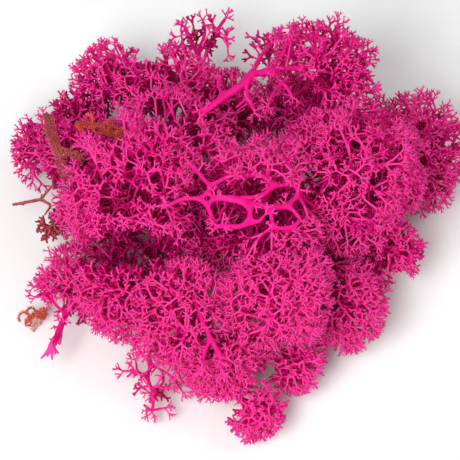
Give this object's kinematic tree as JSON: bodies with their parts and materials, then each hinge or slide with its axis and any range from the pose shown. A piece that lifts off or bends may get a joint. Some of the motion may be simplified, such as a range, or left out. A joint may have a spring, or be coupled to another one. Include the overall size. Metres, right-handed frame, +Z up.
{
  "type": "reindeer moss clump",
  "caption": "Loose clump of pink-dyed reindeer lichen, its branching tufts tangled with bits of moss and twig, resting on its low tips",
  "frame": {"origin": "on the surface that the clump rests on, under the middle of its outline", "axes": "+Z up from the surface, -Y towards the front, where the low front lobe lies, +X to the right seen from the front"},
  "size_m": [0.0951, 0.0927, 0.0417],
  "materials": {
    "dyed_lichen": "matt, soft and slightly waxy, dyed bright pink",
    "brown_lichen": "matt, dry, reddish brown where the dye did not take",
    "brown_feather_moss": "matt, dry, leafy",
    "orange_moss": "matt, dry, leafy",
    "red_bark": "thin dry bark, matt",
    "green_bark": "thin dry bark, matt",
    "grey_bark": "thin dry bark, matt"
  },
  "bodies": {
    "root": {"brown_lichen_scrap": "brown_lichen", "feather_moss_strand": "brown_feather_moss", "forked_twig": "red_bark", "green_twig": "green_bark", "mossy_twig": "grey_bark", "orange_moss_sprig": "orange_moss", "twig_moss_cuff": "orange_moss", "tuft_back_centre": "dyed_lichen", "tuft_back_left": "dyed_lichen", "tuft_back_right": "dyed_lichen", "tuft_back_sprig": "dyed_lichen", "tuft_back_spur": "dyed_lichen", "tuft_centre_crown": "dyed_lichen", "tuft_centre_front": "dyed_lichen", "tuft_front_centre": "dyed_lichen", "tuft_front_left": "dyed_lichen", "tuft_front_lobe": "dyed_lichen", "tuft_front_right": "dyed_lichen", "tuft_front_sprig": "dyed_lichen", "tuft_left_back": "dyed_lichen", "tuft_left_crown": "dyed_lichen", "tuft_left_edge": "dyed_lichen", "tuft_left_front": "dyed_lichen", "tuft_left_low": "dyed_lichen", "tuft_left_upper": "dyed_lichen", "tuft_right_back": "dyed_lichen", "tuft_right_crown": "dyed_lichen", "tuft_right_front": "dyed_lichen", "tuft_right_low": "dyed_lichen", "tuft_top_right": "dyed_lichen", "tuft_under_centre": "dyed_lichen", "tuft_under_left": "dyed_lichen", "tuft_under_right": "dyed_lichen", "tuft_upper_edge": "dyed_lichen", "tuft_upper_left": "dyed_lichen"}
  },
  "joints": []
}
